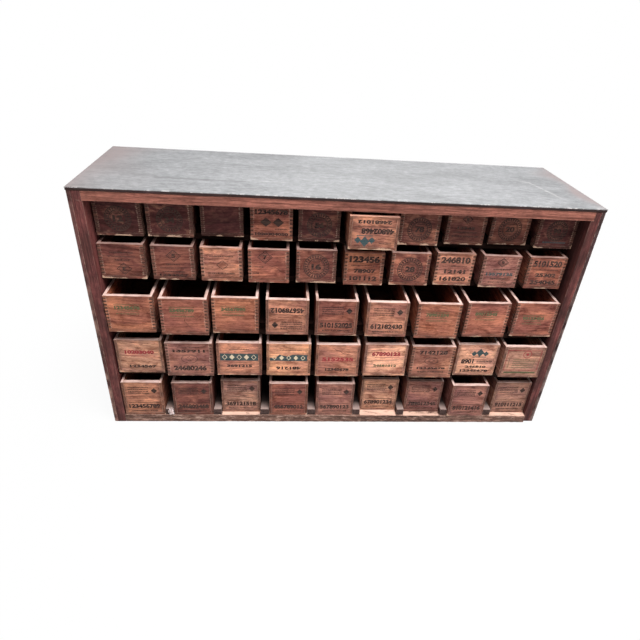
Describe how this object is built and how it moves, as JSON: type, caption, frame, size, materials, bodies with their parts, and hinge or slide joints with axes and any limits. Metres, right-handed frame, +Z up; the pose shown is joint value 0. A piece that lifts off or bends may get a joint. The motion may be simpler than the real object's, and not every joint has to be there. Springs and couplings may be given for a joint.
{
  "type": "parts cabinet",
  "caption": "Old open-fronted wooden parts cabinet with five rows of small wooden boxes that slide in and out as drawers, under a thin sheet metal top.",
  "frame": {"origin": "on the floor, under the middle of the cabinet's bounding box", "axes": "+X to the right as seen from the front, +Y to the back, +Z up"},
  "size_m": [1.1032, 0.3538, 0.5894],
  "materials": {
    "dark_stained_wood": "old dark reddish brown stain, worn at the edges",
    "rough_case_wood": "unfinished, grimy with age",
    "box_wood": null,
    "grey_sheet_metal": "dull grey, scuffed and streaked",
    "nail_steel": "dull, rusted"
  },
  "bodies": {
    "case": {"left_side_board": "dark_stained_wood", "right_side_board": "dark_stained_wood", "left_side_skin": "dark_stained_wood", "right_side_skin": "dark_stained_wood", "top_board": "dark_stained_wood", "top_underlay": "dark_stained_wood", "top_sheet": "grey_sheet_metal", "bottom_board": "rough_case_wood", "shelves_upper": "rough_case_wood", "shelves_lower": "rough_case_wood", "drawer_guides": "rough_case_wood", "back_boards": "rough_case_wood", "case_nails": "nail_steel"},
    "box_r1_c1": {"drawer_r1_c1": "box_wood"},
    "box_r1_c2": {"drawer_r1_c2": "box_wood"},
    "box_r1_c3": {"drawer_r1_c3": "box_wood"},
    "box_r1_c4": {"drawer_r1_c4": "box_wood"},
    "box_r1_c5": {"drawer_r1_c5": "box_wood"},
    "box_r1_c6": {"drawer_r1_c6": "box_wood"},
    "box_r1_c7": {"drawer_r1_c7": "box_wood"},
    "box_r1_c8": {"drawer_r1_c8": "box_wood"},
    "box_r1_c9": {"drawer_r1_c9": "box_wood"},
    "box_r1_c10": {"drawer_r1_c10": "box_wood"},
    "box_r2_c1": {"drawer_r2_c1": "box_wood"},
    "box_r2_c2": {"drawer_r2_c2": "box_wood"},
    "box_r2_c3": {"drawer_r2_c3": "box_wood"},
    "box_r2_c4": {"drawer_r2_c4": "box_wood"},
    "box_r2_c5": {"drawer_r2_c5": "box_wood"},
    "box_r2_c6": {"drawer_r2_c6": "box_wood"},
    "box_r2_c7": {"drawer_r2_c7": "box_wood"},
    "box_r2_c8": {"drawer_r2_c8": "box_wood"},
    "box_r2_c9": {"drawer_r2_c9": "box_wood"},
    "box_r2_c10": {"drawer_r2_c10": "box_wood"},
    "box_r3_c1": {"drawer_r3_c1": "box_wood"},
    "box_r3_c2": {"drawer_r3_c2": "box_wood"},
    "box_r3_c3": {"drawer_r3_c3": "box_wood"},
    "box_r3_c4": {"drawer_r3_c4": "box_wood"},
    "box_r3_c5": {"drawer_r3_c5": "box_wood"},
    "box_r3_c6": {"drawer_r3_c6": "box_wood"},
    "box_r3_c7": {"drawer_r3_c7": "box_wood"},
    "box_r3_c8": {"drawer_r3_c8": "box_wood"},
    "box_r3_c9": {"drawer_r3_c9": "box_wood"},
    "box_r4_c1": {"drawer_r4_c1": "box_wood"},
    "box_r4_c2": {"drawer_r4_c2": "box_wood"},
    "box_r4_c3": {"drawer_r4_c3": "box_wood"},
    "box_r4_c4": {"drawer_r4_c4": "box_wood"},
    "box_r4_c5": {"drawer_r4_c5": "box_wood"},
    "box_r4_c6": {"drawer_r4_c6": "box_wood"},
    "box_r4_c7": {"drawer_r4_c7": "box_wood"},
    "box_r4_c8": {"drawer_r4_c8": "box_wood"},
    "box_r4_c9": {"drawer_r4_c9": "box_wood"},
    "box_r5_c1": {"drawer_r5_c1": "box_wood"},
    "box_r5_c2": {"drawer_r5_c2": "box_wood"},
    "box_r5_c3": {"drawer_r5_c3": "box_wood"},
    "box_r5_c4": {"drawer_r5_c4": "box_wood"},
    "box_r5_c5": {"drawer_r5_c5": "box_wood"},
    "box_r5_c6": {"drawer_r5_c6": "box_wood"},
    "box_r5_c7": {"drawer_r5_c7": "box_wood"},
    "box_r5_c8": {"drawer_r5_c8": "box_wood"},
    "box_r5_c9": {"drawer_r5_c9": "box_wood"}
  },
  "joints": [
    {"name": "slide_r1_c1", "type": "slide", "parent": "case", "child": "box_r1_c1", "axis": [0, -1, 0], "range_m": [-0.031, 0.162]},
    {"name": "slide_r1_c2", "type": "slide", "parent": "case", "child": "box_r1_c2", "axis": [0, -1, 0], "range_m": [-0.029, 0.164]},
    {"name": "slide_r1_c3", "type": "slide", "parent": "case", "child": "box_r1_c3", "axis": [0, -1, 0], "range_m": [-0.0165, 0.1765]},
    {"name": "slide_r1_c4", "type": "slide", "parent": "case", "child": "box_r1_c4", "axis": [0, -1, 0], "range_m": [-0.03, 0.163]},
    {"name": "slide_r1_c5", "type": "slide", "parent": "case", "child": "box_r1_c5", "axis": [0, -1, 0], "range_m": [-0.026, 0.167]},
    {"name": "slide_r1_c6", "type": "slide", "parent": "case", "child": "box_r1_c6", "axis": [0, -1, 0], "range_m": [-0.0365, 0.1565]},
    {"name": "slide_r1_c7", "type": "slide", "parent": "case", "child": "box_r1_c7", "axis": [0, -1, 0], "range_m": [-0.029, 0.164]},
    {"name": "slide_r1_c8", "type": "slide", "parent": "case", "child": "box_r1_c8", "axis": [0, -1, 0], "range_m": [-0.0155, 0.1775]},
    {"name": "slide_r1_c9", "type": "slide", "parent": "case", "child": "box_r1_c9", "axis": [0, -1, 0], "range_m": [-0.0075, 0.1855]},
    {"name": "slide_r1_c10", "type": "slide", "parent": "case", "child": "box_r1_c10", "axis": [0, -1, 0], "range_m": [-0.021, 0.172]},
    {"name": "slide_r2_c1", "type": "slide", "parent": "case", "child": "box_r2_c1", "axis": [0, -1, 0], "range_m": [-0.0375, 0.1555]},
    {"name": "slide_r2_c2", "type": "slide", "parent": "case", "child": "box_r2_c2", "axis": [0, -1, 0], "range_m": [-0.037, 0.156]},
    {"name": "slide_r2_c3", "type": "slide", "parent": "case", "child": "box_r2_c3", "axis": [0, -1, 0], "range_m": [-0.0375, 0.1555]},
    {"name": "slide_r2_c4", "type": "slide", "parent": "case", "child": "box_r2_c4", "axis": [0, -1, 0], "range_m": [-0.0395, 0.1535]},
    {"name": "slide_r2_c5", "type": "slide", "parent": "case", "child": "box_r2_c5", "axis": [0, -1, 0], "range_m": [-0.034, 0.159]},
    {"name": "slide_r2_c6", "type": "slide", "parent": "case", "child": "box_r2_c6", "axis": [0, -1, 0], "range_m": [-0.039, 0.154]},
    {"name": "slide_r2_c7", "type": "slide", "parent": "case", "child": "box_r2_c7", "axis": [0, -1, 0], "range_m": [-0.034, 0.159]},
    {"name": "slide_r2_c8", "type": "slide", "parent": "case", "child": "box_r2_c8", "axis": [0, -1, 0], "range_m": [-0.028, 0.165]},
    {"name": "slide_r2_c9", "type": "slide", "parent": "case", "child": "box_r2_c9", "axis": [0, -1, 0], "range_m": [-0.0335, 0.1595]},
    {"name": "slide_r2_c10", "type": "slide", "parent": "case", "child": "box_r2_c10", "axis": [0, -1, 0], "range_m": [-0.034, 0.159]},
    {"name": "slide_r3_c1", "type": "slide", "parent": "case", "child": "box_r3_c1", "axis": [0, -1, 0], "range_m": [-0.038, 0.196]},
    {"name": "slide_r3_c2", "type": "slide", "parent": "case", "child": "box_r3_c2", "axis": [0, -1, 0], "range_m": [-0.0455, 0.1885]},
    {"name": "slide_r3_c3", "type": "slide", "parent": "case", "child": "box_r3_c3", "axis": [0, -1, 0], "range_m": [-0.0355, 0.1985]},
    {"name": "slide_r3_c4", "type": "slide", "parent": "case", "child": "box_r3_c4", "axis": [0, -1, 0], "range_m": [-0.0375, 0.1965]},
    {"name": "slide_r3_c5", "type": "slide", "parent": "case", "child": "box_r3_c5", "axis": [0, -1, 0], "range_m": [-0.038, 0.196]},
    {"name": "slide_r3_c6", "type": "slide", "parent": "case", "child": "box_r3_c6", "axis": [0, -1, 0], "range_m": [-0.0395, 0.1945]},
    {"name": "slide_r3_c7", "type": "slide", "parent": "case", "child": "box_r3_c7", "axis": [0, -1, 0], "range_m": [-0.043, 0.191]},
    {"name": "slide_r3_c8", "type": "slide", "parent": "case", "child": "box_r3_c8", "axis": [0, -1, 0], "range_m": [-0.0335, 0.2005]},
    {"name": "slide_r3_c9", "type": "slide", "parent": "case", "child": "box_r3_c9", "axis": [0, -1, 0], "range_m": [-0.028, 0.206]},
    {"name": "slide_r4_c1", "type": "slide", "parent": "case", "child": "box_r4_c1", "axis": [0, -1, 0], "range_m": [-0.028, 0.206]},
    {"name": "slide_r4_c2", "type": "slide", "parent": "case", "child": "box_r4_c2", "axis": [0, -1, 0], "range_m": [-0.039, 0.195]},
    {"name": "slide_r4_c3", "type": "slide", "parent": "case", "child": "box_r4_c3", "axis": [0, -1, 0], "range_m": [-0.035, 0.199]},
    {"name": "slide_r4_c4", "type": "slide", "parent": "case", "child": "box_r4_c4", "axis": [0, -1, 0], "range_m": [-0.035, 0.199]},
    {"name": "slide_r4_c5", "type": "slide", "parent": "case", "child": "box_r4_c5", "axis": [0, -1, 0], "range_m": [-0.0365, 0.1975]},
    {"name": "slide_r4_c6", "type": "slide", "parent": "case", "child": "box_r4_c6", "axis": [0, -1, 0], "range_m": [-0.0325, 0.2015]},
    {"name": "slide_r4_c7", "type": "slide", "parent": "case", "child": "box_r4_c7", "axis": [0, -1, 0], "range_m": [-0.0385, 0.1955]},
    {"name": "slide_r4_c8", "type": "slide", "parent": "case", "child": "box_r4_c8", "axis": [0, -1, 0], "range_m": [-0.027, 0.207]},
    {"name": "slide_r4_c9", "type": "slide", "parent": "case", "child": "box_r4_c9", "axis": [0, -1, 0], "range_m": [-0.035, 0.199]},
    {"name": "slide_r5_c1", "type": "slide", "parent": "case", "child": "box_r5_c1", "axis": [0, -1, 0], "range_m": [-0.0325, 0.2185]},
    {"name": "slide_r5_c2", "type": "slide", "parent": "case", "child": "box_r5_c2", "axis": [0, -1, 0], "range_m": [-0.0335, 0.2175]},
    {"name": "slide_r5_c3", "type": "slide", "parent": "case", "child": "box_r5_c3", "axis": [0, -1, 0], "range_m": [-0.0215, 0.2295]},
    {"name": "slide_r5_c4", "type": "slide", "parent": "case", "child": "box_r5_c4", "axis": [0, -1, 0], "range_m": [-0.034, 0.217]},
    {"name": "slide_r5_c5", "type": "slide", "parent": "case", "child": "box_r5_c5", "axis": [0, -1, 0], "range_m": [-0.0335, 0.2175]},
    {"name": "slide_r5_c6", "type": "slide", "parent": "case", "child": "box_r5_c6", "axis": [0, -1, 0], "range_m": [-0.013, 0.238]},
    {"name": "slide_r5_c7", "type": "slide", "parent": "case", "child": "box_r5_c7", "axis": [0, -1, 0], "range_m": [-0.0195, 0.2315]},
    {"name": "slide_r5_c8", "type": "slide", "parent": "case", "child": "box_r5_c8", "axis": [0, -1, 0], "range_m": [-0.037, 0.214]},
    {"name": "slide_r5_c9", "type": "slide", "parent": "case", "child": "box_r5_c9", "axis": [0, -1, 0], "range_m": [-0.0225, 0.2285]}
  ]
}
